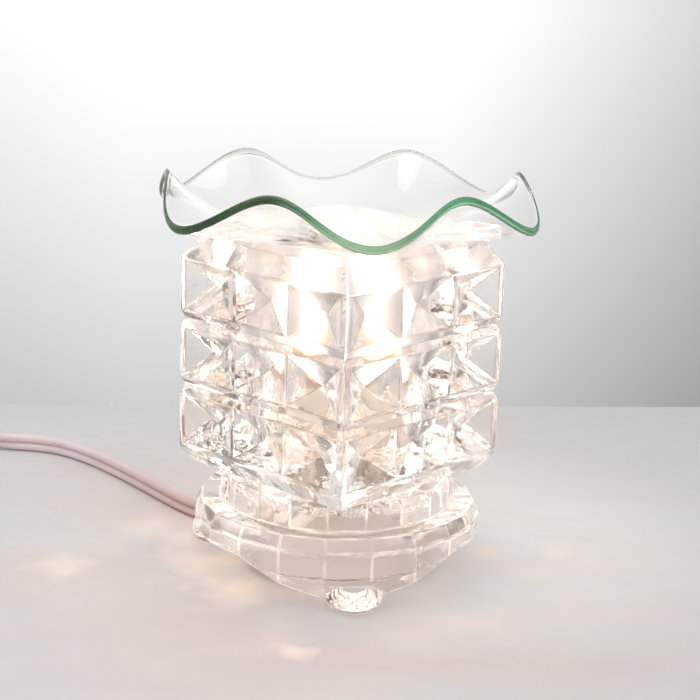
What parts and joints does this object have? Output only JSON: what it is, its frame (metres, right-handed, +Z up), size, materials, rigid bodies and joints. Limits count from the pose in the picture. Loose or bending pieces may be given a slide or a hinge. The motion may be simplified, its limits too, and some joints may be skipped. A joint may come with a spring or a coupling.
{
  "type": "electric wax melt warmer",
  "caption": "Square pressed glass wax melt warmer on a round faceted glass base, with a wavy glass dish on top, a halogen capsule inside and a flat twin cord with thumb wheel switch.",
  "frame": {"origin": "floor level under the lamp axis, at the middle of the dish", "axes": "+Z up along the lamp axis; -Y towards the viewer, where a corner of the square body points; +X to the viewer's right; the cord leaves towards -X and +Y"},
  "size_m": [0.3131, 0.2054, 0.13],
  "materials": {
    "clear_glass": "clear pressed glass, fire polished",
    "quartz": "clear polished",
    "ceramic": "opaque matt steatite",
    "clear_silicone": "translucent matt",
    "grey_rubber": "matt",
    "zinc_steel": "bright zinc plated",
    "nickel_wire": "bright wire",
    "tungsten": "wound wire",
    "contact_brass": "bright",
    "cord_vinyl": "soft satin vinyl",
    "cover_fibre": "matt",
    "tie_plastic": "satin",
    "switch_plastic": "satin moulded",
    "wheel_plastic": "satin moulded, notched rim"
  },
  "bodies": {
    "warmer": {"glass_body": "clear_glass", "glass_base": "clear_glass", "body_gasket": "clear_silicone", "lamp_pipe": "zinc_steel", "upper_rubber_washer": "grey_rubber", "upper_washer": "zinc_steel", "lower_rubber_washer": "grey_rubber", "lower_washer": "zinc_steel", "upper_nut": "zinc_steel", "lower_nut": "zinc_steel", "socket_bracket": "zinc_steel", "lamp_socket": "ceramic", "socket_screws": "zinc_steel", "socket_contacts": "contact_brass", "strain_relief": "grey_rubber", "bottom_cover": "cover_fibre", "lead_wires": "cord_vinyl", "power_cord": "cord_vinyl", "switch_cord": "cord_vinyl", "cord_coil": "cord_vinyl", "cord_tie": "tie_plastic", "switch_lower_shell": "switch_plastic", "switch_upper_shell": "switch_plastic", "switch_pin": "zinc_steel", "switch_screws": "zinc_steel", "plug_body": "cord_vinyl", "plug_blades": "contact_brass"},
    "dish": {"wax_dish": "clear_glass"},
    "bulb": {"bulb_envelope": "quartz", "bulb_pins": "nickel_wire", "bulb_filament": "tungsten"},
    "thumb_wheel": {"switch_wheel": "wheel_plastic"}
  },
  "joints": [
    {"name": "dish_lift", "type": "slide", "parent": "warmer", "child": "dish", "axis": [0, 0, 1], "range_m": [0, 0.05]},
    {"name": "bulb_pull", "type": "slide", "parent": "warmer", "child": "bulb", "axis": [0, 0, 1], "range_m": [0, 0.009]},
    {"name": "wheel_turn", "type": "hinge", "parent": "warmer", "child": "thumb_wheel", "pos_m": [-0.16751, 0.12557, 0.0055], "axis": [0, 0, 1], "continuous": true}
  ]
}
